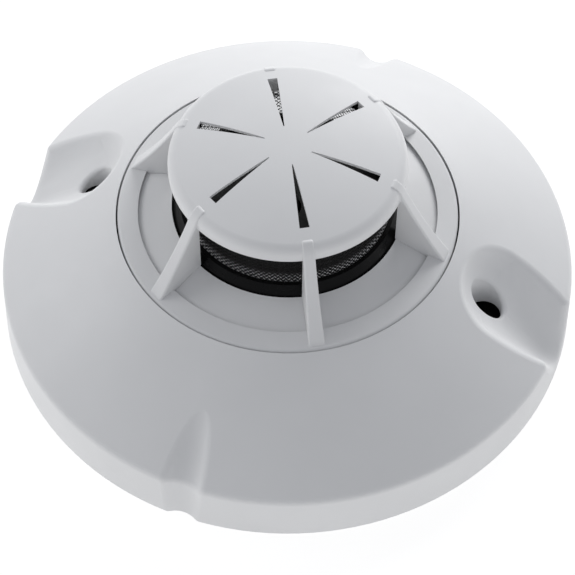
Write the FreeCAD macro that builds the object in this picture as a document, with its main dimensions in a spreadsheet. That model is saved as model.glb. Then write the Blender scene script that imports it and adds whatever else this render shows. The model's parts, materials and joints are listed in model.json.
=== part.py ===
import FreeCAD, Part

import math
import os

import Sketcher

# Radio heat detector: a wide skirted base that stays on the ceiling, and a sensing head that twists
# into it. Millimetres. Z runs from the mounting plane (z = 0) out into the room, the two ceiling
# screws lie on the X axis, and the six fins start on the X axis too.

DIMENSIONS = {
    # skirted base
    "wall": 2.2,
    "base_radius": 78.0,
    "rim_radius": 77.3,
    "rim_height": 14.5,
    "rim_round": 2.4,
    "skirt_height": 34.5,
    "skirt_bow": 300.0,
    "opening_radius": 45.4,
    # ceiling screw wells
    "screw_offset": 56.0,
    "screw_hole_radius": 2.5,
    "well_bore_radius": 4.4,
    "well_collar_height": 13.5,
    "well_mouth_round": 1.0,
    "well_ball_radius": 17.9,
    "well_ball_offset": 66.8,
    "well_ball_height": 35.7,
    "well_slope": 66.0,
    "well_taper": 25.0,
    # pry notches in the rim
    "notch_radius": 6.5,
    "notch_foot": 76.7,
    "notch_knee": 75.3,
    "notch_knee_height": 12.8,
    "notch_end": 60.4,
    "notch_end_height": 25.8,
    # back plate and what stands on it
    "plate_radius": 74.0,
    "plate_thickness": 2.4,
    "screw_boss_radius": 6.0,
    "screw_boss_height": 6.0,
    "shell_screw_offset": 58.0,
    "shell_screw_radius": 1.3,
    "shell_boss_radius": 3.2,
    "socket_foot_offset": 47.4,
    # bayonet
    "socket_radius": 44.0,
    "socket_top": 19.3,
    "spigot_radius": 37.8,
    "spigot_bottom": 15.0,
    "lug_reach": 2.8,
    "lug_height": 2.0,
    "running_gap": 0.3,
    "rear_bottom": 21.2,
    # head
    "head_radius": 45.0,
    "ring_height": 34.5,
    "ring_thickness": 2.0,
    "lip_radius": 39.5,
    "lip_height": 35.3,
    "lip_thickness": 0.55,
    "deck_foot_radius": 40.9,
    "deck_foot_height": 33.7,
    "deck_edge_radius": 30.5,
    "deck_edge_height": 37.5,
    "housing_radius": 42.8,
    "housing_bottom": 23.2,
    "head_screw_offset": 40.3,
    "board_screw_offset": 30.0,
    # cap and its slots
    "cap_radius": 30.8,
    "cap_rim_height": 53.6,
    "cap_top": 61.4,
    "cap_wall": 1.8,
    "cap_skin": 0.9,
    "cap_round": 3.2,
    "dome_radius": 115.0,
    "slot_start": 6.3,
    "slot_end": 24.5,
    "slot_tip_width": 0.3,
    "slot_end_width": 2.6,
    # fins
    "fin_root_width": 4.7,
    "fin_top_width": 3.0,
    "fin_round": 0.5,
    "fin_inner": 30.2,
    "web_inner": 24.9,
    "web_bottom": 52.8,
    # screen
    "screen_radius": 27.2,
    "screen_thickness": 0.3,
    "screen_bottom": 33.8,
    "screen_top": 52.4,
    "screen_ring_radius": 30.2,
    "chamber_bottom": 32.4,
    # cells and boards
    "cell_radius": 8.4,
    "cell_length": 34.0,
    "cell_spacing": 17.4,
    "board_thickness": 1.6,
    "board_radius": 40.2,
    "radio_board_height": 5.0,
    "head_board_height": 27.0,
    # contacts and switches of the base
    "contact_seat": 14.0,
    "contact_tip": 20.6,
    "tamper_offset": 30.0,
    "tamper_travel": 2.0,
    "tamper_case_top": 15.0,
    "plunger_radius": 1.5,
    "plunger_top": 18.0,
    "enrol_offset": 10.5,
}

FIN_COUNT = 6
LUG_COUNT = 3
LUG_WIDTH = 22.0
UNLOCK_ANGLE = 25.0
WELL_ANGLES = (0, 180)
NOTCH_ANGLES = (90, 270)
SHELL_SCREW_ANGLES = (35, 145, 215, 325)
SOCKET_SCREW_ANGLES = (20, 160, 270)
HEAD_SCREW_ANGLES = (90, 210, 330)
BOARD_SCREW_ANGLES = (30, 150, 270)
LEG_ANGLES = (90, 210, 330)
CONTACT_ANGLE = -16.0
CONTACT_RADII = (23.5, 28.0, 32.5)
CELL_TIP = 19.9
CELL_PLATE = 20.3
BOARD_POSTS = ((-33.0, -16.0), (33.0, -16.0), (-33.0, 16.0), (33.0, 16.0), (-15.0, 55.0),
               (15.0, 55.0))


class Size:
    """A length with the spreadsheet expression that drives it."""

    def __init__(self, value, text):
        self.value = float(value)
        self.text = text

    def __add__(self, other):
        other = as_size(other)
        return Size(self.value + other.value, f"({self.text} + {other.text})")

    def __sub__(self, other):
        other = as_size(other)
        return Size(self.value - other.value, f"({self.text} - {other.text})")

    def __mul__(self, factor):
        factor = as_size(factor)
        return Size(self.value * factor.value, f"({self.text} * {factor.text})")

    def __truediv__(self, factor):
        factor = as_size(factor)
        return Size(self.value / factor.value, f"({self.text} / {factor.text})")

    def __neg__(self):
        return Size(-self.value, f"(0 - {self.text})")

    __radd__ = __add__
    __rmul__ = __mul__

    def __rsub__(self, other):
        return as_size(other) - self


def as_size(number):
    return number if isinstance(number, Size) else Size(number, f"{float(number):.6f}")


def cosine(angle):
    angle = as_size(angle)
    return Size(math.cos(math.radians(angle.value)), f"cos({angle.text} * 1 deg)")


def sine(angle):
    angle = as_size(angle)
    return Size(math.sin(math.radians(angle.value)), f"sin({angle.text} * 1 deg)")


doc = FreeCAD.newDocument("heat_detector")
sheet = doc.addObject("Spreadsheet::Sheet", "dims")
for row, (name, value) in enumerate(DIMENSIONS.items(), start=1):
    sheet.set(f"A{row}", name)
    sheet.set(f"B{row}", str(value))
    sheet.setAlias(f"B{row}", name)
doc.recompute()


class Dims:
    """Named access to the spreadsheet: dims.wall is a Size bound to that cell."""

    def __getattr__(self, name):
        return Size(sheet.get(name), f"dims.{name}")


dims = Dims()


# ---------------------------------------------------------------- drawing and binding helpers

def bind(thing, prop, length):
    length = as_size(length)
    if prop.startswith("Placement"):
        thing.setExpression(prop, length.text)
        return
    setattr(thing, prop, length.value)
    thing.setExpression(prop, length.text)


def place(thing, x=0.0, y=0.0, z=0.0, rotation=None):
    """Put a part at x, y, z, each bound to the sheet, turned by rotation."""
    x, y, z = as_size(x), as_size(y), as_size(z)
    base = FreeCAD.Vector(x.value, y.value, z.value)
    thing.Placement = FreeCAD.Placement(base, rotation or FreeCAD.Rotation())
    for axis, length in (("x", x), ("y", y), ("z", z)):
        thing.setExpression(f"Placement.Base.{axis}", length.text)
    return thing


def place_polar(thing, radius, angle, z=0.0, tilt=None):
    """Put a part on a circle about Z, turned to face outwards, after an optional tilt."""
    turn = FreeCAD.Rotation(FreeCAD.Vector(0, 0, 1), angle)
    rotation = turn.multiply(tilt) if tilt else turn
    radius = as_size(radius)
    return place(thing, radius * cosine(angle), radius * sine(angle), z, rotation)


def solid(kind, name, **sizes):
    part = doc.addObject(f"Part::{kind}", name)
    for prop, length in sizes.items():
        bind(part, prop, length)
    return part


def cylinder(name, radius, height, x=0.0, y=0.0, z=0.0, rotation=None):
    return place(solid("Cylinder", name, Radius=radius, Height=height), x, y, z, rotation)


def box(name, length, width, height, x=0.0, y=0.0, z=0.0):
    """A box centred on x and y that stands on z."""
    length, width = as_size(length), as_size(width)
    block = solid("Box", name, Length=length, Width=width, Height=height)
    return place(block, x - length / 2, y - width / 2, z)


def fuse(name, parts):
    joined = doc.addObject("Part::MultiFuse", name)
    joined.Shapes = parts
    joined.Refine = True
    return joined


def cut(name, base, tools):
    tool = tools[0]
    if len(tools) > 1:
        tool = fuse(f"{name}_tools", tools)
    result = doc.addObject("Part::Cut", name)
    result.Base = base
    result.Tool = tool
    result.Refine = True
    return result


def common(name, first, second):
    result = doc.addObject("Part::Common", name)
    result.Base = first
    result.Tool = second
    return result


def sketch_in(owner, name, role, offset=0.0):
    """An empty sketch: on a body's own origin plane, or free-standing when owner is None."""
    if owner is None:
        sketch = doc.addObject("Sketcher::SketchObject", name)
        if role == "XZ_Plane":
            sketch.Placement = FreeCAD.Placement(
                FreeCAD.Vector(), FreeCAD.Rotation(FreeCAD.Vector(1, 0, 0), 90))
        return sketch
    sketch = owner.newObject("Sketcher::SketchObject", name)
    plane = next(f for f in owner.Origin.OriginFeatures if f.Role == role)
    sketch.AttachmentSupport = [(plane, "")]
    sketch.MapMode = "FlatFace"
    offset = as_size(offset)
    sketch.AttachmentOffset = FreeCAD.Placement(
        FreeCAD.Vector(0, 0, offset.value), FreeCAD.Rotation())
    if offset.value:
        sketch.setExpression("AttachmentOffset.Base.z", offset.text)
    return sketch


def pin_point(sketch, geometry, point, x, y):
    """Hold one point of a sketch at x, y, bound to the sheet."""
    for kind, length, axis in (("DistanceX", as_size(x), -2), ("DistanceY", as_size(y), -1)):
        if abs(length.value) < 1e-9:
            sketch.addConstraint(Sketcher.Constraint("PointOnObject", geometry, point, axis))
            continue
        index = sketch.addConstraint(
            Sketcher.Constraint(kind, -1, 1, geometry, point, length.value))
        sketch.setExpression(f"Constraints[{index}]", length.text)


def draw_outline(sketch, corners):
    """A closed outline. A corner is (x, y), or (x, y, bend) when an arc of that radius leaves it,
    positive where the arc turns left."""
    count = len(corners)
    points = [(as_size(c[0]), as_size(c[1])) for c in corners]
    edges = []
    for i, corner in enumerate(corners):
        (x0, y0), (x1, y1) = points[i], points[(i + 1) % count]
        start = FreeCAD.Vector(x0.value, y0.value, 0)
        end = FreeCAD.Vector(x1.value, y1.value, 0)
        if len(corner) == 2:
            edges.append((sketch.addGeometry(Part.LineSegment(start, end)), 1, 2))
            continue
        bend = as_size(corner[2])
        chord = end - start
        left = FreeCAD.Vector(-chord.y, chord.x, 0).normalize()
        reach = math.sqrt(bend.value ** 2 - (chord.Length / 2) ** 2)
        side = 1 if bend.value > 0 else -1
        centre = (start + end) * 0.5 + left * reach * side
        mid = centre - left * abs(bend.value) * side
        index = sketch.addGeometry(Part.Arc(start, mid, end))
        ends = (1, 2) if bend.value > 0 else (2, 1)
        edges.append((index, *ends))
        radius = sketch.addConstraint(Sketcher.Constraint("Radius", index, abs(bend.value)))
        sketch.setExpression(f"Constraints[{radius}]", (bend if side > 0 else -bend).text)
    for i, (index, first, _) in enumerate(edges):
        previous, _, last = edges[i - 1]
        sketch.addConstraint(Sketcher.Constraint("Coincident", previous, last, index, first))
    for (index, first, _), (x, y) in zip(edges, points):
        pin_point(sketch, index, first, x, y)
    return sketch


def draw_circle(sketch, x, y, radius):
    x, y, radius = as_size(x), as_size(y), as_size(radius)
    centre = FreeCAD.Vector(x.value, y.value, 0)
    index = sketch.addGeometry(Part.Circle(centre, FreeCAD.Vector(0, 0, 1), radius.value))
    bound = sketch.addConstraint(Sketcher.Constraint("Radius", index, radius.value))
    sketch.setExpression(f"Constraints[{bound}]", radius.text)
    pin_point(sketch, index, 3, x, y)


def new_body(name):
    body = doc.addObject("PartDesign::Body", name)
    body.Label = name
    return body


def turned(body, name, corners):
    """A solid of revolution about Z, or a revolved addition to the body."""
    sketch = draw_outline(sketch_in(body, f"{name}_outline", "XZ_Plane"), corners)
    feature = body.newObject("PartDesign::Revolution", name)
    feature.Profile = sketch
    feature.ReferenceAxis = (sketch, ["V_Axis"])
    feature.Angle = 360
    return feature


def pad(body, name, sketch, length):
    feature = body.newObject("PartDesign::Pad", name)
    feature.Profile = sketch
    bind(feature, "Length", length)
    return feature


def pocket(body, name, sketch, length, upwards=False):
    feature = body.newObject("PartDesign::Pocket", name)
    feature.Profile = sketch
    feature.Reversed = upwards
    bind(feature, "Length", length)
    return feature


def polar(body, name, features, count, sweep=360):
    pattern = body.newObject("PartDesign::PolarPattern", name)
    pattern.Originals = features
    pattern.Axis = (features[0].Profile[0], ["N_Axis"])
    pattern.Angle = sweep
    pattern.Occurrences = count
    body.Tip = pattern
    return pattern


def revolve_free(name, corners):
    """A solid of revolution about Z made in the Part workbench, for use in booleans."""
    sketch = draw_outline(sketch_in(None, f"{name}_outline", "XZ_Plane"), corners)
    feature = doc.addObject("Part::Revolution", name)
    feature.Source = sketch
    feature.Axis = FreeCAD.Vector(0, 0, 1)
    feature.Base = FreeCAD.Vector(0, 0, 0)
    feature.Angle = 360
    feature.Solid = True
    return feature


def extrude_free(name, sketch, length, symmetric=False):
    feature = doc.addObject("Part::Extrusion", name)
    feature.Base = sketch
    feature.DirMode = "Normal"
    feature.Solid = True
    feature.Symmetric = symmetric
    bind(feature, "LengthFwd", length)
    return feature


def round_edges(name, base, chosen, radius):
    """Round the edges of base that chosen accepts."""
    doc.recompute()
    feature = doc.addObject("Part::Fillet", name)
    feature.Base = base
    radius = as_size(radius)
    picks = [i for i, edge in enumerate(base.Shape.Edges, start=1) if chosen(edge)]
    feature.Edges = [(i, radius.value, radius.value) for i in picks]
    return feature



# ---------------------------------------------------------------- shared shapes

def rectangle(x, y, width, depth):
    """Corners of a rectangle centred on x, y."""
    x, y, width, depth = as_size(x), as_size(y), as_size(width), as_size(depth)
    left, right = x - width / 2, x + width / 2
    low, high = y - depth / 2, y + depth / 2
    return [(left, low), (right, low), (right, high), (left, high)]


def sector(inner, outer, width, middle):
    """Corners of a ring sector, width degrees wide about the angle middle."""
    inner, outer = as_size(inner), as_size(outer)
    first, last = middle - width / 2, middle + width / 2
    return [
        (inner * cosine(first), inner * sine(first)),
        (outer * cosine(first), outer * sine(first), outer),
        (outer * cosine(last), outer * sine(last)),
        (inner * cosine(last), inner * sine(last), -inner),
    ]


def around(radius, angles):
    """Places on a circle about Z."""
    return [(radius * cosine(angle), radius * sine(angle)) for angle in angles]


def pad_shape(body, name, corners, low, high):
    """Add a prism with a straight or curved outline between two heights."""
    sketch = draw_outline(sketch_in(body, f"{name}_outline", "XY_Plane", low), corners)
    return pad(body, name, sketch, as_size(high) - low)


def pocket_shape(body, name, corners, low, high):
    """Cut a prism out of the body between two heights."""
    sketch = draw_outline(sketch_in(body, f"{name}_outline", "XY_Plane", high), corners)
    return pocket(body, name, sketch, as_size(high) - low)


def pad_pins(body, name, places, radius, low, high):
    """Add equal round posts between two heights."""
    sketch = sketch_in(body, f"{name}_circles", "XY_Plane", low)
    for x, y in places:
        draw_circle(sketch, x, y, radius)
    return pad(body, name, sketch, as_size(high) - low)


def pocket_holes(body, name, places, radius, low, high):
    """Cut equal round holes between two heights."""
    sketch = sketch_in(body, f"{name}_circles", "XY_Plane", high)
    for x, y in places:
        draw_circle(sketch, x, y, radius)
    return pocket(body, name, sketch, as_size(high) - low)


def group(name, parts):
    """Identical pieces that share one node."""
    together = doc.addObject("Part::Compound", name)
    together.Links = parts
    return together


def make_screws(name, places, seat, shank_length, head_radius, shank_radius, from_below=False):
    """Pan head screws with a cross recess, seated at one height."""
    seat = as_size(seat)
    head_height, depth = 1.2, 0.6
    screws = []
    for i, (x, y) in enumerate(places):
        head_low = seat - head_height if from_below else seat
        shank_low = seat if from_below else seat - shank_length
        recess_low = head_low if from_below else head_low + (head_height - depth)
        head = cylinder(f"{name}_head_{i}", head_radius, head_height, x, y, head_low)
        shank = cylinder(f"{name}_shank_{i}", shank_radius, shank_length, x, y, shank_low)
        bars = [
            box(f"{name}_bar_{i}_{n}", length, width, depth, x, y, recess_low)
            for n, (length, width) in enumerate(((head_radius * 1.2, 0.5), (0.5, head_radius * 1.2)))
        ]
        screws.append(cut(f"{name}_{i}", fuse(f"{name}_blank_{i}", [head, shank]), bars))
    return group(name, screws)


def coil(name, height, radius, wire_radius, turns):
    """A round wire compression spring along Z."""
    pitch = height / turns
    helix = Part.makeHelix(pitch, height, radius)
    along = FreeCAD.Vector(0, 2 * math.pi * radius, pitch)
    start = Part.Circle(FreeCAD.Vector(radius, 0, 0), along, wire_radius)
    profile = Part.Wire(start.toShape())
    spring = Part.Wire(helix).makePipeShell([profile], True, True)
    feature = doc.addObject("Part::Feature", name)
    feature.Shape = spring
    return feature


# ---------------------------------------------------------------- skirted base

def well_tool(name, angle, extra=0.0):
    """The space a screw well takes: a ball that narrows as a cone towards the rim."""
    ball = dims.well_ball_radius + extra
    reach = as_size(37.0)
    tangent = ball * sine(dims.well_taper)
    near = ball * cosine(dims.well_taper)
    far = (ball - reach * sine(dims.well_taper)) / cosine(dims.well_taper)
    turn = FreeCAD.Rotation(FreeCAD.Vector(0, 1, 0), 90 + dims.well_slope.value)
    sphere = solid("Sphere", f"{name}_ball", Radius=ball)
    place_polar(sphere, dims.well_ball_offset, angle, dims.well_ball_height)
    cone = solid("Cone", f"{name}_cone", Radius1=near, Radius2=far, Height=reach - tangent)
    radius = dims.well_ball_offset + tangent * cosine(dims.well_slope)
    height = dims.well_ball_height - tangent * sine(dims.well_slope)
    place_polar(cone, radius, angle, height, turn)
    return fuse(name, [sphere, cone])


def notch_tool(name, angle, extra=0.0):
    """A shallow groove up the rim and the lower skirt, for prying the skirt off the ceiling."""
    groove = dims.notch_radius + extra
    run = dims.notch_knee.value - dims.notch_end.value
    drop = dims.notch_end_height.value - dims.notch_knee_height.value
    slope = math.degrees(math.atan2(drop, run))
    shift = dims.notch_foot.value - dims.notch_knee.value
    lean = math.degrees(math.atan2(shift, dims.notch_knee_height.value))
    overrun = 16.0
    upright = solid("Cylinder", f"{name}_upright", Radius=groove, Height=40.0)
    place_polar(upright, dims.notch_radius + dims.notch_foot, angle, -1.0,
                FreeCAD.Rotation(FreeCAD.Vector(0, 1, 0), -lean))
    sloped = solid("Cylinder", f"{name}_sloped", Radius=groove, Height=60.0)
    start = dims.notch_knee + dims.notch_radius * sine(slope) + overrun
    low = (dims.notch_knee_height + dims.notch_radius * cosine(slope)
           - overrun * math.tan(math.radians(slope)))
    place_polar(sloped, start, angle, low,
                FreeCAD.Rotation(FreeCAD.Vector(0, 1, 0), -(90 - slope)))
    return fuse(name, [upright, sloped])


def is_lip_edge(edge):
    """The skirt's outer edges: rim, well lips and notch lips, but not the foot or the opening."""
    bounds = edge.BoundBox
    return (bounds.ZMax > 1.0 and bounds.ZMin < dims.skirt_height.value - 1.0
            and not is_smooth_seam(edge))


def is_smooth_seam(edge):
    """Where a well's ball runs smoothly into its cone, and the seams that lie along the X axis."""
    bounds = edge.BoundBox
    if bounds.YLength < 0.01 and abs(bounds.YMax) < 0.01:
        return True
    seam = dims.well_ball_radius * cosine(dims.well_taper)
    return is_circle(edge) and abs(edge.Curve.Radius - seam.value) < 0.05


def is_mouth_edge(edge):
    """The edge where a screw bore opens into its well."""
    first, last = edge.ParameterRange
    reaches = []
    for part in (0.1, 0.5, 0.9):
        point = edge.valueAt(first + (last - first) * part)
        reaches.append(math.hypot(abs(point.x) - dims.screw_offset.value, point.y))
    bounds = edge.BoundBox
    return (bounds.XLength + bounds.YLength > 0.5 and bounds.ZMin > dims.well_collar_height.value
            and max(abs(reach - dims.well_bore_radius.value) for reach in reaches) < 0.01)


def make_skirt_shell():
    """The wide skirt: a thin cone with two screw wells and two pry notches."""
    outer = revolve_free("skirt_outer", [
        (0.0, 0.0),
        (dims.base_radius, 0.0),
        (dims.rim_radius, dims.rim_height, dims.skirt_bow),
        (dims.opening_radius, dims.skirt_height),
        (0.0, dims.skirt_height),
    ])
    wells = [well_tool(f"well_{angle}", angle) for angle in WELL_ANGLES]
    notches = [notch_tool(f"notch_{angle}", angle) for angle in NOTCH_ANGLES]
    scooped = cut("skirt_scooped", outer, wells + notches)
    rounded = round_edges("skirt_rounded", scooped, is_lip_edge, dims.rim_round)
    bores = []
    for angle in WELL_ANGLES:
        bore = solid("Cylinder", f"well_bore_{angle}", Radius=dims.well_bore_radius, Height=60.0)
        bores.append(place_polar(bore, dims.screw_offset, angle, -1.0))
    bored = cut("skirt_bored", rounded, bores)
    softened = round_edges("skirt_softened", bored, is_mouth_edge, dims.well_mouth_round)

    inner_top = dims.skirt_height - dims.wall * 1.15
    cavity = revolve_free("skirt_cavity", [
        (0.0, -1.0),
        (dims.base_radius - dims.wall - 0.2, -1.0),
        (dims.rim_radius - dims.wall, dims.rim_height - dims.wall * 0.6, dims.skirt_bow),
        (dims.opening_radius, inner_top),
        (0.0, inner_top),
    ])
    kept = [well_tool(f"well_wall_{angle}", angle, dims.wall) for angle in WELL_ANGLES]
    kept += [notch_tool(f"notch_wall_{angle}", angle, dims.wall) for angle in NOTCH_ANGLES]
    for angle in WELL_ANGLES:
        collar = solid("Cylinder", f"well_collar_{angle}", Radius=dims.well_bore_radius + 1.8,
                       Height=14.0)
        kept.append(place_polar(collar, dims.screw_offset, angle, dims.well_collar_height))
    for angle in SHELL_SCREW_ANGLES:
        boss = solid("Cylinder", f"shell_boss_{angle}", Radius=dims.shell_boss_radius, Height=24.0)
        kept.append(place_polar(boss, dims.shell_screw_offset, angle, dims.plate_thickness))
    removed = [cut("skirt_hollow", cavity, kept)]
    removed.append(cylinder("skirt_opening", dims.opening_radius, 60.0, z=-1.0))
    for angle in SHELL_SCREW_ANGLES:
        pilot = solid("Cylinder", f"shell_pilot_{angle}", Radius=dims.shell_screw_radius + 0.05,
                      Height=11.0)
        removed.append(place_polar(pilot, dims.shell_screw_offset, angle, 0.0))
    return cut("skirt_shell", softened, removed)


def make_back_plate():
    """The flat plate against the ceiling, with a tower under each ceiling screw."""
    body = new_body("back_plate")
    plate = dims.plate_thickness
    pad_pins(body, "plate", [(0.0, 0.0)], dims.plate_radius, 0.0, plate)
    ceiling = around(dims.screw_offset, WELL_ANGLES)
    shell = around(dims.shell_screw_offset, SHELL_SCREW_ANGLES)
    pad_pins(body, "screw_towers", ceiling, dims.screw_boss_radius, plate, dims.screw_boss_height)
    pad_pins(body, "board_posts", BOARD_POSTS, 2.6, plate, dims.radio_board_height)
    pocket_holes(body, "ceiling_holes", ceiling, dims.screw_hole_radius, 0.0,
                 dims.screw_boss_height)
    pocket_holes(body, "shell_holes", shell, dims.shell_screw_radius + 0.25, 0.0, plate)
    pocket_holes(body, "shell_recesses", shell, 2.9, 0.0, 1.3)
    pocket_holes(body, "socket_holes", around(dims.socket_foot_offset, SOCKET_SCREW_ANGLES), 1.25,
                 0.0, plate)
    pocket_holes(body, "board_pilots", BOARD_POSTS, 1.05, 1.0, dims.radio_board_height)
    return body


def make_bayonet_socket():
    """The ring the head twists into: lugs drop through its gates and turn under its lip."""
    body = new_body("bayonet_socket")
    inner = dims.spigot_radius + 0.4
    channel = dims.spigot_radius + dims.lug_reach + 0.4
    lug_top = dims.spigot_bottom + dims.lug_height
    turned(body, "socket_ring", [
        (channel, dims.plate_thickness),
        (dims.socket_radius, dims.plate_thickness),
        (dims.socket_radius, dims.socket_top),
        (inner, dims.socket_top),
        (inner, lug_top + dims.running_gap),
        (channel, lug_top + dims.running_gap),
        (channel, dims.spigot_bottom - 0.4),
        (inner, dims.spigot_bottom - 0.4),
        (inner, dims.spigot_bottom - 2.0),
        (channel, dims.spigot_bottom - 2.0),
    ])
    feet = around(dims.socket_foot_offset, SOCKET_SCREW_ANGLES)
    foot_top = dims.plate_thickness + 2.4
    pad_pins(body, "socket_feet", feet, 4.2, dims.plate_thickness, foot_top)
    pocket_holes(body, "socket_foot_holes", feet, 1.4, dims.plate_thickness, foot_top)
    gate = sector(inner - 1.0, channel, LUG_WIDTH + 6.0, UNLOCK_ANGLE)
    lug_gate = pocket_shape(body, "lug_gate", gate, lug_top + 0.1, dims.socket_top)
    polar(body, "lug_gates", [lug_gate], LUG_COUNT)
    pocket_shape(body, "board_gap", rectangle(0.0, 42.0, 42.0, 14.0), dims.plate_thickness, 10.5)
    return body


def make_radio_board():
    """The base's circuit board: round inside the socket, with a tongue for the radio module."""
    body = new_body("radio_board")
    low, high = dims.radio_board_height, dims.radio_board_height + dims.board_thickness
    radius = dims.board_radius
    half = as_size(19.0)
    rise = Size(math.sqrt(radius.value ** 2 - 19.0 ** 2), f"sqrt({radius.text}^2 - 19^2)")
    pad_shape(body, "radio_board_blank", [
        (half, rise), (half, 67.0), (-half, 67.0), (-half, rise, radius), (0.0, -radius, radius),
    ], low, high)
    pocket_shape(body, "cell_window", rectangle(0.0, 0.0, 39.0, 45.0), low, high)
    pocket_holes(body, "radio_board_holes", BOARD_POSTS, 1.2, low, high)
    return body


def make_radio_module():
    """Shielded radio module on the board's tongue."""
    body = new_body("radio_module")
    low = dims.radio_board_height + dims.board_thickness
    pad_shape(body, "module_board", rectangle(0.0, 58.0, 18.0, 14.0), low, low + 0.8)
    pad_shape(body, "module_shield", rectangle(0.0, 58.5, 15.0, 11.0), low + 0.8, low + 2.6)
    return body


def make_antenna():
    """A stiff wire that follows the inside of the skirt."""
    board_top = dims.radio_board_height + dims.board_thickness
    wire, bend, start, sweep = 0.6, 64.0, 75.0, 57.0  # wire radius, arc radius, first angle, turn
    arc = solid("Torus", "antenna_arc", Radius1=bend, Radius2=wire)
    arc.Angle3 = sweep
    place(arc, z=board_top + 3.0, rotation=FreeCAD.Rotation(FreeCAD.Vector(0, 0, 1), start - sweep))
    leg = solid("Cylinder", "antenna_leg", Radius=wire, Height=3.0)
    place_polar(leg, bend, start - 0.4, board_top)
    return fuse("antenna", [arc, leg])


def make_battery_holder():
    """Open tray for two lithium cells, reached when the head is off."""
    body = new_body("battery_holder")
    floor = dims.plate_thickness + 1.0
    pad_shape(body, "tray", rectangle(0.0, 0.0, 38.0, 43.6), dims.plate_thickness, 15.0)
    pocket_shape(body, "tray_inside", rectangle(0.0, 0.0, 35.4, 41.0), floor, 15.0)
    pocket_shape(body, "tray_finger_gap", rectangle(0.0, 0.0, 60.0, 14.0), 9.0, 15.0)
    return body


def make_cell(name, side):
    """One lithium cell lying along Y, its cap at the end that side points to."""
    x = dims.cell_spacing / 2 * side
    z = dims.plate_thickness + 1.1 + dims.cell_radius
    lie = FreeCAD.Rotation(FreeCAD.Vector(1, 0, 0), -90 * side)
    foot = CELL_TIP - dims.cell_length
    can = cylinder(f"{name}_can_sharp", dims.cell_radius, dims.cell_length - 1.0, x, foot * side, z,
                   lie)
    can = round_edges(f"{name}_can", can, is_circle, 0.6)
    cap = cylinder(f"{name}_cap", 3.2, 1.6, x, (CELL_TIP - 1.6) * side, z, lie)
    return fuse(name, [can, cap])


def is_circle(edge):
    return edge.Length > 1.0 and isinstance(edge.Curve, Part.Circle)


def make_cell_contacts():
    """Four nickel plates at the tray's ends."""
    plates = []
    for i, (side, end) in enumerate(((1, 1), (1, -1), (-1, 1), (-1, -1))):
        x, y = dims.cell_spacing / 2 * side, CELL_PLATE * end
        plates.append(box(f"cell_plate_{i}", 9.0, 0.4, 9.0, x, y, 7.0))
    return group("cell_contacts", plates)


def make_cell_springs():
    """The springs behind the two negative ends."""
    springs = []
    z = dims.plate_thickness + 1.1 + dims.cell_radius
    wire = 0.35
    reach = CELL_PLATE - 0.2 - (dims.cell_length.value - CELL_TIP) - 2 * wire - 0.1
    turn = FreeCAD.Rotation(FreeCAD.Vector(1, 0, 0), -90)
    ends = CELL_PLATE - 0.25 - wire
    for i, (side, y) in enumerate(((1, -ends), (-1, ends - reach))):
        spring = coil(f"cell_spring_{i}", reach, 2.5, wire, 3)
        springs.append(place(spring, dims.cell_spacing / 2 * side, y, z, turn))
    return group("cell_springs", springs)


def make_contact_block():
    """Carrier of the three springs that touch the head's contact arcs."""
    body = new_body("contact_block")
    low = dims.radio_board_height + dims.board_thickness
    pad_shape(body, "block", rectangle(28.0, 0.0, 14.0, 13.0), low, dims.contact_seat)
    for name, middle in (("inner_groove", 25.75), ("outer_groove", 30.25)):
        pocket_shape(body, name, rectangle(middle, 0.0, 0.8, 13.0), dims.contact_seat - 1.5,
                     dims.contact_seat)
    return body


def make_base_contacts():
    """Three leaf springs, each a foot, a bend and a raised tip."""
    leaf = 0.4
    seat, tip = dims.contact_seat, dims.contact_tip
    bend = seat + 3.6
    leaves = []
    for i, radius in enumerate(CONTACT_RADII):
        sketch = draw_outline(sketch_in(None, f"base_leaf_outline_{i}", "XZ_Plane"), [
            (-5.0, seat), (4.0, seat, 2.2), (4.0, bend), (-1.0, tip), (-4.0, tip - 1.2),
            (-4.0, tip - 1.8), (-1.0, tip - 0.5), (4.0, bend - leaf, -2.1), (4.0, seat + leaf),
            (-5.0, seat + leaf),
        ])
        strip = extrude_free(f"base_leaf_{i}", sketch, 2.4, symmetric=True)
        leaves.append(place(strip, radius, 0.0, 0.0, FreeCAD.Rotation(FreeCAD.Vector(0, 0, 1), 90)))
    return group("base_contacts", leaves)


def make_tamper_body():
    """Housing of the tamper plunger on the radio board."""
    low = dims.radio_board_height + dims.board_thickness
    x = -dims.tamper_offset
    case = box("tamper_case", 6.4, 6.4, dims.tamper_case_top - low, x, 0.0, low)
    chamber = cylinder("tamper_chamber", 2.4, dims.tamper_case_top - low - 1.4, x, 0.0, low + 0.6)
    guide = cylinder("tamper_guide", dims.plunger_radius + 0.05, 12.0, x, 0.0, low + 1.0)
    return cut("tamper_body", case, [chamber, guide])


def make_tamper_plunger():
    """Round plunger with a domed tip and a collar that keeps it in its housing."""
    x = -dims.tamper_offset
    dome = dims.plunger_top - dims.plunger_radius
    collar_low = dims.plunger_top - 8.0
    stem = cylinder("plunger_stem", dims.plunger_radius, dome - collar_low, x, 0.0, collar_low)
    collar = cylinder("plunger_collar", 2.1, 1.0, x, 0.0, collar_low)
    tip = place(solid("Sphere", "plunger_tip", Radius=dims.plunger_radius), x, 0.0, dome)
    return fuse("tamper_plunger", [stem, collar, tip])


def make_tamper_spring():
    low = dims.radio_board_height + dims.board_thickness + 0.6
    wire, gap = 0.25, 0.05
    room = dims.plunger_top.value - 8.0 - low.value
    spring = coil("tamper_spring", room - 2 * wire - 2 * gap, 1.6, wire, 3)
    return place(spring, -dims.tamper_offset, 0.0, low + wire + gap)


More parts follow.
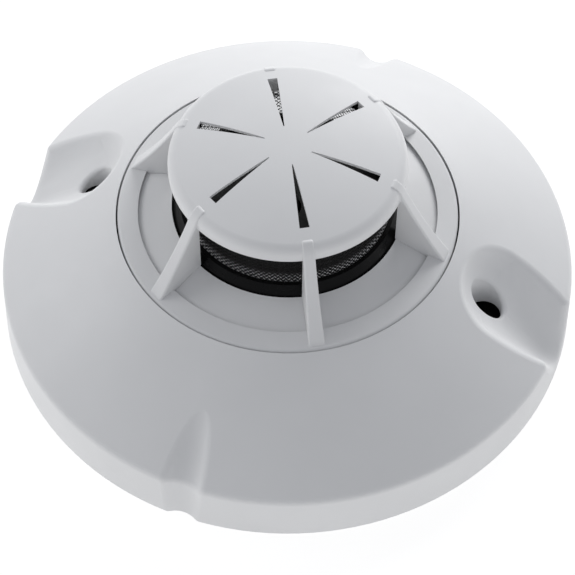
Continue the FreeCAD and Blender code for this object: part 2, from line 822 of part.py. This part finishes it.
def make_enrol_switch():
    """Small push switch beside the tamper switch."""
    low = dims.radio_board_height + dims.board_thickness
    x, y = -dims.tamper_offset, -dims.enrol_offset
    case = box("enrol_case", 6.0, 6.0, 3.6, x, y, low)
    guide = cylinder("enrol_guide", 1.75, 2.7, x, y, low + 1.0)
    return cut("enrol_switch", case, [guide])


def make_enrol_button():
    low = dims.radio_board_height + dims.board_thickness + 1.6
    stem = cylinder("enrol_stem", 1.7, 4.2, -dims.tamper_offset, -dims.enrol_offset, low)
    return round_edges("enrol_button", stem, is_upper_edge, 0.4)


def is_upper_edge(edge):
    return edge.BoundBox.ZMin > 12.0


# ---------------------------------------------------------------- sensing head

def make_head_rear_cover():
    """The head's back: a disc, the bayonet spigot with its lugs, and the tamper ramp."""
    body = new_body("rear_cover_blank")
    low, high = dims.rear_bottom, dims.housing_bottom
    inner = dims.spigot_radius - 1.8
    turned(body, "rear_disc", [
        (0.0, low), (inner, low), (inner, dims.spigot_bottom),
        (dims.spigot_radius, dims.spigot_bottom), (dims.spigot_radius, low),
        (dims.housing_radius, low), (dims.housing_radius, high), (0.0, high),
    ])
    reach = dims.spigot_radius + dims.lug_reach
    lug = pad_shape(body, "lug", sector(dims.spigot_radius - 0.5, reach, LUG_WIDTH, 0.0),
                    dims.spigot_bottom, dims.spigot_bottom + dims.lug_height)
    polar(body, "lugs", [lug], LUG_COUNT)
    posts = around(dims.board_screw_offset, BOARD_SCREW_ANGLES)
    pad_pins(body, "rear_posts", posts, 2.6, high, dims.head_board_height)
    ramp = sector(dims.tamper_offset - 2.6, dims.tamper_offset + 2.6, 36.0, 168.0)
    pad_shape(body, "ramp_block", ramp, dims.plunger_top + dims.running_gap, low)
    pocket_holes(body, "rear_pilots", posts, 1.05, low + 1.0, dims.head_board_height)
    pocket_holes(body, "rear_screw_holes", around(dims.head_screw_offset, HEAD_SCREW_ANGLES), 1.35,
                 low, high)
    pins = [place_ for radius in CONTACT_RADII for place_ in around(radius, (CONTACT_ANGLE,))]
    pocket_holes(body, "rear_pin_holes", pins, 0.9, low, high)
    return cut("head_rear_cover", body, [make_ramp_tool()])


def make_ramp_tool():
    """The wedge below the tamper ramp, which rises as the head turns towards unlocked."""
    length, width, height = 7.0, 24.0, 6.0
    middle = 180.0 - UNLOCK_ANGLE / 2
    half_run = dims.tamper_offset.value * math.sin(math.radians(UNLOCK_ANGLE / 2))
    tilt = math.degrees(math.atan2(dims.tamper_travel.value / 2, half_run))
    turn = FreeCAD.Rotation(FreeCAD.Vector(0, 0, 1), middle).multiply(
        FreeCAD.Rotation(FreeCAD.Vector(1, 0, 0), -tilt))
    corner = turn.multVec(FreeCAD.Vector(-length / 2, -width / 2, -height))
    tool = solid("Box", "ramp_tool", Length=length, Width=width, Height=height)
    z = dims.plunger_top + dims.running_gap + dims.tamper_travel / 2
    return place(tool, dims.tamper_offset * cosine(middle) + corner.x,
                 dims.tamper_offset * sine(middle) + corner.y, z + corner.z, turn)


def make_head_contacts():
    """Three contact arcs under the head, each with a pin up to the head board."""
    arcs = []
    low = dims.rear_bottom - 0.3
    for i, radius in enumerate(CONTACT_RADII):
        outline = sector(radius - 1.3, radius + 1.3, 38.0, CONTACT_ANGLE)
        sketch = draw_outline(sketch_in(None, f"contact_arc_outline_{i}", "XY_Plane"), outline)
        strip = place(extrude_free(f"contact_arc_{i}", sketch, 0.3), z=low)
        x, y = around(radius, (CONTACT_ANGLE,))[0]
        pin = cylinder(f"contact_pin_{i}", 0.8, dims.head_board_height - low, x, y, low)
        arcs.append(fuse(f"head_contact_{i}", [strip, pin]))
    return group("head_contacts", arcs)


def make_head_housing():
    """The head's inner wall and the sloping deck seen between the fins."""
    body = new_body("head_housing")
    seat = dims.ring_height - dims.ring_thickness + 0.5
    deck, wall = 1.6, 1.8
    inner = dims.housing_radius - wall
    foot = dims.deck_foot_radius
    turned(body, "housing_wall", [
        (inner, dims.housing_bottom),
        (dims.housing_radius, dims.housing_bottom),
        (dims.housing_radius, seat),
        (foot, seat),
        (foot, dims.deck_foot_height),
        (dims.deck_edge_radius, dims.deck_edge_height),
        (dims.deck_edge_radius, dims.deck_edge_height - deck),
        (foot - deck, dims.deck_foot_height - deck * 0.5),
        (foot - deck, seat - deck),
        (inner, seat - deck),
    ])
    bosses = around(dims.head_screw_offset, HEAD_SCREW_ANGLES)
    pad_pins(body, "housing_bosses", bosses, 2.4, dims.housing_bottom, seat - deck)
    pocket_holes(body, "housing_pilots", bosses, 1.15, dims.housing_bottom,
                 dims.housing_bottom + 6.5)
    return body


def make_vaned_cover():
    """One white moulding: the ring, six fins and the slotted cap that they carry."""
    inner, shelf = dims.lip_radius, dims.deck_foot_radius + 0.3
    under = dims.lip_height - dims.lip_thickness
    wall = dims.housing_radius + 0.2
    foot = dims.housing_bottom + 2.0
    seat = dims.ring_height - dims.ring_thickness + 0.6
    ring = revolve_free("cover_ring_sharp", [
        (inner, under), (shelf, under - 0.55), (shelf, seat), (wall, seat), (wall, foot),
        (dims.head_radius, foot), (dims.head_radius, dims.ring_height), (inner, dims.lip_height),
    ])
    ring = round_edges("cover_ring", ring, is_ring_lip, 0.8)
    return fuse("vaned_cover", [ring, make_cap()] + make_fins())


def is_ring_lip(edge):
    bounds = edge.BoundBox
    return bounds.XMax > dims.head_radius.value - 0.1 and bounds.ZMin > dims.ring_height.value - 0.1


def make_cap():
    """The domed cap with six slots that widen outwards."""
    inner_radius = dims.cap_radius - dims.cap_wall
    inner_dome = dims.dome_radius - dims.cap_skin
    top, inner_top = dims.cap_top, dims.cap_top - dims.cap_skin
    shell = revolve_free("cap_sharp", [
        (0.0, inner_top),
        (1.0, inner_top, -inner_dome),
        (inner_radius, inner_top - dome_drop(inner_dome, inner_radius)),
        (inner_radius, dims.cap_rim_height),
        (dims.cap_radius, dims.cap_rim_height),
        (dims.cap_radius, top - dome_drop(dims.dome_radius, dims.cap_radius), dims.dome_radius),
        (1.0, top),
        (0.0, top),
    ])
    rounded = round_edges("cap_rounded", shell, is_cap_shoulder, dims.cap_round)
    sketch = draw_outline(sketch_in(None, "slot_outline", "XY_Plane"), [
        (dims.slot_start, dims.slot_tip_width / -2), (dims.slot_end, dims.slot_end_width / -2),
        (dims.slot_end, dims.slot_end_width / 2), (dims.slot_start, dims.slot_tip_width / 2),
    ])
    slots = []
    for i in range(FIN_COUNT):
        slot = extrude_free(f"slot_{i}", sketch, 20.0)
        slots.append(place_polar(slot, 0.0, 360 / FIN_COUNT * i, dims.cap_rim_height))
    return cut("cap", rounded, slots)


def is_cap_shoulder(edge):
    return is_circle(edge) and edge.BoundBox.XMax > 30.0 and edge.BoundBox.ZMin > 56.0


def dome_drop(dome, radius):
    """How far a dome falls at a radius from its top."""
    value = dome.value - math.sqrt(dome.value ** 2 - radius.value ** 2)
    return Size(value, f"({dome.text} - sqrt({dome.text}^2 - {radius.text}^2))")


def make_fins():
    """Six curved fins: a side outline crossed with a plan outline that widens to the ring. Each
    one climbs from the ring's lip, laps over the cap's shoulder and ends there in a nub."""
    seat = dims.ring_height - dims.ring_thickness + 0.7
    above_deck = 0.12
    side = draw_outline(sketch_in(None, "fin_side", "XZ_Plane"), [
        (dims.web_inner, dims.web_bottom),
        (dims.fin_inner, dims.web_bottom),
        (dims.fin_inner, dims.deck_edge_height + above_deck),
        (dims.deck_foot_radius, dims.deck_foot_height + above_deck),
        (dims.deck_foot_radius + 0.5, seat),
        (dims.head_radius - 1.0, seat),
        (dims.head_radius - 0.65, dims.ring_height - 0.25, -122.8),
        (dims.cap_radius + 0.39, 55.45, 6.0),
        (28.8, 58.016, 1.0),
        (27.48, 57.72),
        (dims.web_inner, 58.2),
    ])
    side_slab = extrude_free("fin_side_slab", side, 8.0, symmetric=True)
    top, root = dims.fin_top_width / 2, dims.fin_root_width / 2
    plan = draw_outline(sketch_in(None, "fin_plan", "XY_Plane"), [
        (24.0, -top), (27.0, -top, -212.77), (46.0, -root), (46.0, root, -212.77), (27.0, top),
        (24.0, top),
    ])
    plan_slab = extrude_free("fin_plan_slab", plan, 80.0)
    fins = []
    for i in range(FIN_COUNT):
        sharp = common(f"fin_sharp_{i}", side_slab, plan_slab)
        fin = round_edges(f"fin_{i}", sharp, is_crest_edge, dims.fin_round)
        fins.append(place_polar(fin, 0.0, 360 / FIN_COUNT * i))
    return fins


def is_crest_edge(edge):
    """The long upper edges of a fin, lying along X."""
    bounds = edge.BoundBox
    return (bounds.XLength > 0.5 and bounds.YLength < 1.2 and bounds.ZLength > 2.0
            and bounds.XMax > dims.fin_inner.value + 0.5
            and bounds.ZMin > dims.ring_height.value - 0.5)


def make_chamber_floor():
    """Black floor of the sensing chamber on three legs, with a hole for the sensor column."""
    body = new_body("chamber_floor")
    low = dims.chamber_bottom
    plateau = dims.screen_radius - dims.screen_thickness - 0.1
    turned(body, "floor_disc", [
        (3.6, low), (33.0, low), (33.0, low + 1.0), (plateau, low + 1.0), (plateau, low + 3.2),
        (3.6, low + 3.2),
    ])
    legs = around(24.0, LEG_ANGLES)
    pad_pins(body, "floor_legs", legs, 1.6, dims.head_board_height + dims.board_thickness, low)
    return body


def make_lower_screen_ring():
    """Glossy ring that seals the foot of the screen against the deck."""
    body = new_body("lower_screen_ring")
    inner = dims.screen_radius + 0.05
    outer = dims.screen_ring_radius
    low = dims.chamber_bottom + 1.0
    turned(body, "lower_ring", [
        (inner, low), (33.4, low), (33.4, low + 1.4), (outer, low + 1.4), (outer, 36.9),
        (28.3, 39.8), (inner, 39.8),
    ])
    return body


def make_upper_screen_ring():
    body = new_body("upper_screen_ring")
    inner = dims.screen_radius + 0.05
    turned(body, "upper_ring", [
        (inner, 50.4), (28.4, 50.4), (28.4, dims.web_bottom), (inner, dims.web_bottom),
    ])
    return body


def make_insect_screen():
    body = new_body("insect_screen")
    inner = dims.screen_radius - dims.screen_thickness
    turned(body, "screen_tube", [
        (inner, dims.screen_bottom), (dims.screen_radius, dims.screen_bottom),
        (dims.screen_radius, dims.screen_top), (inner, dims.screen_top),
    ])
    return body


def make_head_board():
    body = new_body("head_board")
    low, high = dims.head_board_height, dims.head_board_height + dims.board_thickness
    pad_pins(body, "head_board_disc", [(0.0, 0.0)], 33.6, low, high)
    pocket_holes(body, "head_board_holes", around(dims.board_screw_offset, BOARD_SCREW_ANGLES), 1.2,
                 low, high)
    return body


def make_sensor_column():
    """Black column that holds the heat sensor in the middle of the air flow."""
    body = new_body("sensor_column")
    low = dims.head_board_height + dims.board_thickness
    turned(body, "column", [
        (0.0, low), (5.0, low), (5.0, low + 1.2), (3.2, low + 1.2), (2.4, low + 13.0),
        (0.0, low + 13.0),
    ])
    leads = [(-0.9, 0.0), (0.9, 0.0)]
    pocket_holes(body, "lead_holes", leads, 0.3, low, low + 13.0)
    return body


def make_thermistor():
    """Glass bead sensor."""
    return place(solid("Sphere", "thermistor", Radius=1.5), z=49.5)


def make_thermistor_leads():
    low = dims.head_board_height + dims.board_thickness
    return group("thermistor_leads", [
        cylinder(f"thermistor_lead_{i}", 0.25, 48.2 - low, x, 0.0, low)
        for i, x in enumerate((-0.9, 0.9))
    ])


def make_head_chips():
    """The controller and its capacitor on the head board."""
    top = dims.head_board_height + dims.board_thickness
    chip = box("controller_chip", 9.0, 9.0, 1.2, -14.0, 6.0, top)
    capacitor = round_edges("buffer_capacitor", cylinder(
        "capacitor_can", 3.0, 3.4, 15.0, 8.0, top), is_circle, 0.3)
    return [chip, capacitor]


# ---------------------------------------------------------------- the whole detector

def make_base():
    board_top = dims.radio_board_height + dims.board_thickness
    shell_places = around(dims.shell_screw_offset, SHELL_SCREW_ANGLES)
    foot_places = around(dims.socket_foot_offset, SOCKET_SCREW_ANGLES)
    return [
        make_skirt_shell(),
        make_back_plate(),
        make_bayonet_socket(),
        make_radio_board(),
        make_radio_module(),
        make_antenna(),
        make_battery_holder(),
        make_cell("cell_1", 1),
        make_cell("cell_2", -1),
        make_cell_contacts(),
        make_cell_springs(),
        make_contact_block(),
        make_base_contacts(),
        make_tamper_body(),
        make_tamper_plunger(),
        make_tamper_spring(),
        make_enrol_switch(),
        make_enrol_button(),
        make_screws("skirt_screws", shell_places, 1.3, 8.0, 2.6, dims.shell_screw_radius, True),
        make_screws("socket_screws", foot_places, dims.plate_thickness + 2.4, 4.2, 2.2, 1.2),
        make_screws("radio_board_screws", BOARD_POSTS, board_top, 4.5, 1.9, 1.0),
    ]


def make_head():
    board_top = dims.head_board_height + dims.board_thickness
    rear_places = around(dims.head_screw_offset, HEAD_SCREW_ANGLES)
    board_places = around(dims.board_screw_offset, BOARD_SCREW_ANGLES)
    return [
        make_vaned_cover(),
        make_head_housing(),
        make_head_rear_cover(),
        make_head_contacts(),
        make_chamber_floor(),
        make_lower_screen_ring(),
        make_upper_screen_ring(),
        make_insect_screen(),
        make_head_board(),
        make_sensor_column(),
        make_thermistor(),
        make_thermistor_leads(),
        *make_head_chips(),
        make_screws("head_screws", rear_places, dims.rear_bottom, 7.5, 2.3, 1.1, True),
        make_screws("head_board_screws", board_places, board_top, 4.5, 1.9, 1.0),
    ]


parts = make_base() + make_head()
doc.recompute()
for thing in doc.Objects:
    if "Invalid" in thing.State or "Error" in thing.State:
        raise RuntimeError(f"{thing.Name} did not recompute: {thing.State}")
for part in parts:
    if part.Shape.isNull() or not part.Shape.isValid():
        raise RuntimeError(f"{part.Name} has no valid shape")

os.makedirs("parts", exist_ok=True)
for part in parts:
    part.Label = part.Name
    part.Shape.exportStep(f"parts/{part.Label}.step")
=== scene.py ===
import json
import math

import bpy
import numpy as np
from mathutils import Matrix, Vector


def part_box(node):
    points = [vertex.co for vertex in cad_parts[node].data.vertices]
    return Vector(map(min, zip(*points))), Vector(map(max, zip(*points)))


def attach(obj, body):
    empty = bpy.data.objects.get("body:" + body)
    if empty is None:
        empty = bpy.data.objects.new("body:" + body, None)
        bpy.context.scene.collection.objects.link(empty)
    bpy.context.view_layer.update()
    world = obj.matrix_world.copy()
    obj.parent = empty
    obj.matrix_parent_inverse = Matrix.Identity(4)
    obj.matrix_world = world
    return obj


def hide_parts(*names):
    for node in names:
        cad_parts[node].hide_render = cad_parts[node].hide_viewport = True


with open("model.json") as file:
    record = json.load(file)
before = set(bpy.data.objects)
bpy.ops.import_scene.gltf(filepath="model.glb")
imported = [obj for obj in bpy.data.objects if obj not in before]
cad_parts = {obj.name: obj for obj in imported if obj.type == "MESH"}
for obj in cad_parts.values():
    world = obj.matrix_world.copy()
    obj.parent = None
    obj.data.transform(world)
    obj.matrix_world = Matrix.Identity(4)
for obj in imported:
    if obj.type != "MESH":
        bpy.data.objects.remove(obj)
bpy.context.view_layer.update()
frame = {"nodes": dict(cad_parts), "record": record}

MM = 0.001


# ---------------------------------------------------------------- node helpers

class Shader:
    """A Principled material whose textures are placed in the object's own metres."""

    def __init__(self, name, color, roughness, metallic=0.0, **constants):
        self.material = bpy.data.materials.new(name)
        self.material.use_nodes = True
        self.tree = self.material.node_tree
        self.surface = self.tree.nodes["Principled BSDF"]
        self.surface.inputs["Base Color"].default_value = (*color, 1.0)
        self.surface.inputs["Roughness"].default_value = roughness
        self.surface.inputs["Metallic"].default_value = metallic
        for socket, value in constants.items():
            self.surface.inputs[socket.replace("_", " ")].default_value = value
        self.place = self.add("ShaderNodeTexCoord").outputs["Object"]

    def add(self, kind, **settings):
        node = self.tree.nodes.new(kind)
        for key, value in settings.items():
            setattr(node, key, value)
        return node

    def join(self, source, target):
        self.tree.links.new(source, target)

    def noise(self, scale, detail=2.0, roughness=0.5, stretch=None):
        texture = self.add("ShaderNodeTexNoise")
        texture.inputs["Scale"].default_value = scale
        texture.inputs["Detail"].default_value = detail
        texture.inputs["Roughness"].default_value = roughness
        source = self.place
        if stretch:
            mapping = self.add("ShaderNodeMapping")
            mapping.inputs["Scale"].default_value = stretch
            self.join(source, mapping.inputs["Vector"])
            source = mapping.outputs["Vector"]
        self.join(source, texture.inputs["Vector"])
        return texture.outputs["Fac"]

    def spread(self, factor, low, high, start=0.3, end=0.7):
        """Map a texture from start..end to low..high."""
        node = self.add("ShaderNodeMapRange")
        for socket, value in (("From Min", start), ("From Max", end), ("To Min", low),
                              ("To Max", high)):
            node.inputs[socket].default_value = value
        self.join(factor, node.inputs["Value"])
        return node.outputs["Result"]

    def tint(self, factor, first, second, start=0.3, end=0.7):
        """Base colour that wanders between two colours."""
        ramp = self.add("ShaderNodeValToRGB")
        ramp.color_ramp.elements[0].position = start
        ramp.color_ramp.elements[0].color = (*first, 1.0)
        ramp.color_ramp.elements[1].position = end
        ramp.color_ramp.elements[1].color = (*second, 1.0)
        self.join(factor, ramp.inputs["Fac"])
        self.join(ramp.outputs["Color"], self.surface.inputs["Base Color"])

    def bump(self, *layers):
        """Stack height layers, each (factor, distance in metres, strength)."""
        normal = None
        for factor, distance, strength in layers:
            node = self.add("ShaderNodeBump")
            node.inputs["Distance"].default_value = distance
            node.inputs["Strength"].default_value = strength
            self.join(factor, node.inputs["Height"])
            if normal is not None:
                self.join(normal, node.inputs["Normal"])
            normal = node.outputs["Normal"]
        self.join(normal, self.surface.inputs["Normal"])

    def vary_roughness(self, factor, low, high):
        self.join(self.spread(factor, low, high), self.surface.inputs["Roughness"])


def moulded_white(name, shade=0.80):
    """Fine satin moulding: spark texture and faint flow mottling."""
    color = (shade, shade + 0.003, shade + 0.008)
    s = Shader(name, color, 0.45, Specular_IOR_Level=0.42)
    flow = s.noise(38.0, 3.0, 0.55)
    deeper = tuple(c * 0.965 for c in color)
    s.tint(flow, deeper, color)
    grain = s.noise(5200.0, 2.0, 0.6)
    s.vary_roughness(s.noise(140.0, 3.0), 0.42, 0.52)
    s.bump((flow, 0.0006, 0.02), (grain, 0.000018, 0.5))
    return s.material


def gloss_black(name):
    s = Shader(name, (0.003, 0.003, 0.0032), 0.3, Specular_IOR_Level=0.15)
    s.vary_roughness(s.noise(220.0, 3.0), 0.22, 0.36)
    s.bump((s.noise(600.0, 2.0), 0.00002, 0.25))
    return s.material


def satin_black(name, shade=0.014):
    s = Shader(name, (shade,) * 3, 0.5)
    s.tint(s.noise(90.0, 3.0), (shade * 0.8,) * 3, (shade * 1.25,) * 3)
    s.vary_roughness(s.noise(300.0, 2.0), 0.42, 0.58)
    s.bump((s.noise(4200.0, 2.0), 0.00002, 0.5))
    return s.material


def metal(name, color, roughness, stretch=None):
    s = Shader(name, color, roughness, 1.0)
    brushed = s.noise(900.0, 3.0, 0.6, stretch)
    s.tint(brushed, tuple(c * 0.86 for c in color), color)
    s.vary_roughness(brushed, roughness * 0.75, roughness * 1.3)
    s.bump((brushed, 0.00001, 0.4))
    return s.material


CROWN_START, CROWN_END = 0.02712, 0.02722  # radius over which a wire counts as outward facing and takes a painted highlight
GLINT_FADE_TOP, CAP_SHADE_FROM = 0.0414, 0.0438  # height over which the painted highlights fade out into painted shade under the cap


def screen_wire(name):
    """Blackened wire with painted highlights on the outer crowns of the lower rows, fading out
    towards the top as painted shade under the cap.
    """
    s = Shader(name, (0.008, 0.008, 0.0085), 0.36, 0.6)
    split = s.add("ShaderNodeSeparateXYZ")
    s.join(s.place, split.inputs["Vector"])
    flat = s.add("ShaderNodeCombineXYZ")
    s.join(split.outputs["X"], flat.inputs["X"])
    s.join(split.outputs["Y"], flat.inputs["Y"])
    reach = s.add("ShaderNodeVectorMath", operation="LENGTH")
    s.join(flat.outputs["Vector"], reach.inputs[0])
    # painted highlight: only the outward-facing crowns of the wires take the glint colour
    crown = s.spread(reach.outputs["Value"], 0.0, 1.0, CROWN_START, CROWN_END)
    # painted shade: the glints fade out towards the top, where the cap's shadow falls
    lit_rows = s.spread(split.outputs["Z"], 1.0, 0.0, GLINT_FADE_TOP, CAP_SHADE_FROM)
    speckle = s.spread(s.noise(700.0, 2.0), 0.6, 1.0)
    painted_glint = lit_rows
    for factor in (crown, speckle):
        both = s.add("ShaderNodeMath", operation="MULTIPLY")
        s.join(painted_glint, both.inputs[0])
        s.join(factor, both.inputs[1])
        painted_glint = both.outputs["Value"]
    # painted highlight: base colour runs from black wire to near white on the lit crowns
    s.tint(painted_glint, (0.006, 0.006, 0.0065), (0.88, 0.88, 0.89), 0.0, 0.8)
    s.vary_roughness(s.noise(1400.0, 2.0), 0.30, 0.46)
    s.bump((s.noise(6000.0, 2.0), 0.00001, 0.4))
    return s.material


def circuit_board(name):
    s = Shader(name, (0.012, 0.10, 0.035), 0.3, Coat_Weight=0.5, Coat_Roughness=0.12)
    tracks = s.add("ShaderNodeTexBrick")
    tracks.inputs["Scale"].default_value = 420.0
    tracks.inputs["Mortar Size"].default_value = 0.06
    tracks.inputs["Color1"].default_value = (0.012, 0.10, 0.035, 1)
    tracks.inputs["Color2"].default_value = (0.016, 0.13, 0.05, 1)
    tracks.inputs["Mortar"].default_value = (0.03, 0.21, 0.08, 1)
    s.join(s.place, tracks.inputs["Vector"])
    s.join(tracks.outputs["Color"], s.surface.inputs["Base Color"])
    s.bump((tracks.outputs["Fac"], 0.00003, 0.5), (s.noise(2500.0), 0.00001, 0.3))
    return s.material


def glazed(name, color, roughness=0.25):
    s = Shader(name, color, roughness, Coat_Weight=0.6, Coat_Roughness=0.1)
    s.tint(s.noise(120.0, 3.0), tuple(c * 0.85 for c in color), color)
    s.vary_roughness(s.noise(260.0, 2.0), roughness * 0.8, roughness * 1.3)
    s.bump((s.noise(1500.0, 2.0), 0.00001, 0.3))
    return s.material


# ---------------------------------------------------------------- materials on the CAD nodes

LOOKS = {
    "white_housing": moulded_white("moulded_white_base"),
    "white_head": moulded_white("moulded_white_head"),
    "white_inner": moulded_white("moulded_white_inner", 0.74),
    "black_plastic": satin_black("satin_black"),
    "black_gloss": gloss_black("gloss_black"),
    "black_mesh": screen_wire("blackened_wire"),
    "circuit_board": circuit_board("solder_mask"),
    "plated_steel": metal("nickel_plate", (0.66, 0.63, 0.57), 0.28, (1, 6, 1)),
    "tinned_wire": metal("tinned_wire", (0.72, 0.71, 0.68), 0.3),
    "spring_bronze": metal("spring_bronze", (0.80, 0.58, 0.30), 0.25, (1, 5, 1)),
    "spring_steel": metal("spring_steel", (0.50, 0.50, 0.52), 0.3),
    "screw_steel": metal("zinc_screw", (0.62, 0.63, 0.65), 0.3, (1, 1, 8)),
    "cell_wrap": glazed("cell_sleeve", (0.03, 0.10, 0.30)),
    "red_button": glazed("red_button", (0.45, 0.02, 0.015), 0.4),
    "sensor_glass": glazed("sensor_bead", (0.22, 0.09, 0.03), 0.08),
    "chip_plastic": satin_black("chip_epoxy", 0.02),
    "capacitor_can": metal("capacitor_can", (0.74, 0.74, 0.76), 0.22),
}

slot_of = {part["node"]: part["material_slot"] for part in frame["record"]["subparts"]}
for node, thing in frame["nodes"].items():
    thing.data.materials.clear()
    thing.data.materials.append(LOOKS[slot_of[node]])


# ---------------------------------------------------------------- woven insect screen

def tube_rings(path, radius, sides):
    """Vertices and quads of a round tube, open at both ends, along a path of points."""
    ahead = np.roll(path, -1, 0) - np.roll(path, 1, 0)
    ahead[0] = path[1] - path[0]
    ahead[-1] = path[-1] - path[-2]
    ahead /= np.linalg.norm(ahead, axis=1)[:, None]
    out = path * [1.0, 1.0, 0.0]
    out /= np.linalg.norm(out, axis=1)[:, None]
    across = np.cross(ahead, out)
    across /= np.linalg.norm(across, axis=1)[:, None]
    out = np.cross(across, ahead)
    turn = np.linspace(0, 2 * np.pi, sides, endpoint=False)
    rings = (path[:, None, :] + radius * (np.cos(turn)[None, :, None] * out[:, None, :]
                                          + np.sin(turn)[None, :, None] * across[:, None, :]))
    quads = []
    for i in range(len(path) - 1):
        j = i + 1
        for k in range(sides):
            m = (k + 1) % sides
            quads.append((i * sides + k, i * sides + m, j * sides + m, j * sides + k))
    return rings.reshape(-1, 3), np.array(quads)


def mesh_object(name, parts, material):
    """One smooth object from several (vertices, quads) pairs."""
    vertices, faces, shift = [], [], 0
    for points, quads in parts:
        vertices.append(points)
        faces.append(quads + shift)
        shift += len(points)
    mesh = bpy.data.meshes.new(name)
    mesh.from_pydata(np.concatenate(vertices).tolist(), [], np.concatenate(faces).tolist())
    mesh.shade_smooth()
    mesh.materials.append(material)
    thing = bpy.data.objects.new(name, mesh)
    bpy.context.collection.objects.link(thing)
    return thing


WEAVE_PITCH = 1.0 * MM  # between parallel wires
WIRE_RADIUS = 0.11 * MM
WIRE_SIDES = 5
WEAVE_SWING = 0.95  # how far a wire bends in and out at a crossing, in wire radii
STEPS_PER_CROSSING = 4
HALF_WALL = 0.15 * MM  # half the thickness of the solid screen that the wires replace


def woven_screen():
    """A plain weave laid on the bias: two families of wires that climb at 45 degrees."""
    low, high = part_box("insect_screen")
    height = high[2] - low[2]
    middle = high[0] - HALF_WALL
    count = 2 * round(math.pi * middle / (WEAVE_PITCH * math.sqrt(2)))
    crossing = math.pi * middle / count
    climb = np.linspace(0, height, STEPS_PER_CROSSING * round(height / crossing) + 1)
    parts = []
    for side in (1, -1):
        swing = side * WIRE_RADIUS * WEAVE_SWING * np.cos(np.pi * climb / crossing)
        radius = middle + swing
        for start in range(count):
            angle = 2 * np.pi * start / count + side * climb / middle
            path = np.stack([radius * np.cos(angle), radius * np.sin(angle), low[2] + climb], 1)
            parts.append(tube_rings(path, WIRE_RADIUS, WIRE_SIDES))
    screen = mesh_object("woven_screen", parts, LOOKS["black_mesh"])
    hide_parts("insect_screen")
    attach(screen, "head")


woven_screen()


# ---------------------------------------------------------------- floor, light and camera

FLOOR_HALF = 6.0
FLOOR_DROP = 0.0002  # keeps the floor clear of the back plate


def make_floor():
    """A pale plain sheet that glows a little, so that it stays white around the object."""
    mesh = bpy.data.meshes.new("floor")
    half = FLOOR_HALF
    mesh.from_pydata([(-half, -half, 0), (half, -half, 0), (half, half, 0), (-half, half, 0)], [],
                     [(0, 1, 2, 3)])
    s = Shader("pale_floor", (0.25, 0.25, 0.25), 0.7)
    s.surface.inputs["Emission Color"].default_value = (1, 1, 1, 1)
    s.surface.inputs["Emission Strength"].default_value = 0.86
    mesh.materials.append(s.material)
    floor = bpy.data.objects.new("floor", mesh)
    bpy.context.collection.objects.link(floor)
    floor.location.z = -FLOOR_DROP


LIGHT_TARGET = (0, 0, 0.02)


def area_light(name, place, size, power):
    """A round softbox that faces the object."""
    lamp = bpy.data.lights.new(name, "AREA")
    lamp.shape = "DISK"
    lamp.size = size
    lamp.energy = power
    thing = bpy.data.objects.new(name, lamp)
    thing.location = place
    aim = Vector(LIGHT_TARGET) - Vector(place)
    thing.rotation_euler = aim.to_track_quat("-Z", "Y").to_euler()
    bpy.context.collection.objects.link(thing)


def make_camera():
    """The camera at the photograph's angle."""
    lens = bpy.data.cameras.new("camera")
    lens.lens = 122.8
    lens.sensor_width = 36.0
    lens.shift_x, lens.shift_y = 0.0005, -0.0073
    lens.clip_start, lens.clip_end = 0.01, 50.0
    camera = bpy.data.objects.new("camera", lens)
    place = Vector((0.1066, -0.2930, 0.4483))
    camera.location = place
    camera.rotation_mode = "QUATERNION"
    roll = Matrix.Rotation(math.radians(0.39), 3, "Z").to_quaternion()
    camera.rotation_quaternion = (-place).to_track_quat("-Z", "Y") @ roll
    bpy.context.collection.objects.link(camera)
    bpy.context.scene.camera = camera


def make_world():
    """Even, faintly cool fill light."""
    world = bpy.data.worlds.new("studio")
    world.use_nodes = True
    background = world.node_tree.nodes["Background"]
    background.inputs["Color"].default_value = (0.93, 0.95, 1.0, 1)
    background.inputs["Strength"].default_value = 0.44
    bpy.context.scene.world = world


make_floor()
make_world()
area_light("back_softbox", (0.05, 1.2, 0.58), 0.9, 10.6)
area_light("left_softbox", (-1.1, -0.05, 0.55), 0.8, 3.4)
make_camera()
bpy.context.scene.view_settings.view_transform = "Standard"
